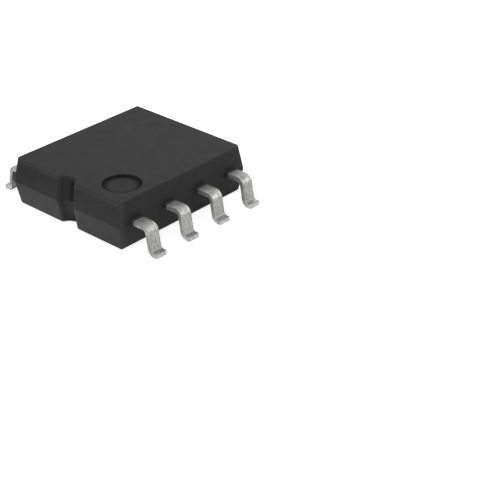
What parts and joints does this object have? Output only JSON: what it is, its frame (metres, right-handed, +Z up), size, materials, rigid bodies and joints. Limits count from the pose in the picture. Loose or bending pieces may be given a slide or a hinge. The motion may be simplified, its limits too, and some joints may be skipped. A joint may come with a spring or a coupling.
{
  "type": "switching regulator",
  "caption": "Small surface-mount voltage regulator chip: black moulded body with an end notch and a dimple, and tin-plated gull-wing leads.",
  "frame": {"origin": "centre of the footprint, on the plane that the feet stand on", "axes": "+X across the two rows of leads, +Y towards the notched end, +Z up"},
  "size_m": [0.0064, 0.005, 0.0015],
  "materials": {
    "moulding_compound": "fine matt epoxy moulding compound",
    "tin_plated_lead": "matt tin plate over copper alloy, bare copper alloy inside the moulding",
    "silicon": "smooth grey with a dull sheen",
    "die_attach_adhesive": "silver-filled adhesive",
    "bond_wire_gold": "drawn gold wire"
  },
  "bodies": {
    "root": {"lead_1": "tin_plated_lead", "lead_2": "tin_plated_lead", "lead_4": "tin_plated_lead", "lead_5": "tin_plated_lead", "lead_7": "tin_plated_lead", "lead_8": "tin_plated_lead", "ground_leads_and_die_pad": "tin_plated_lead", "die_attach": "die_attach_adhesive", "silicon_die": "silicon", "bond_wire_1": "bond_wire_gold", "bond_wire_2": "bond_wire_gold", "bond_wire_3": "bond_wire_gold", "bond_wire_4": "bond_wire_gold", "bond_wire_5": "bond_wire_gold", "bond_wire_6": "bond_wire_gold", "bond_wire_7": "bond_wire_gold", "bond_wire_8": "bond_wire_gold", "moulded_body": "moulding_compound"}
  },
  "joints": []
}
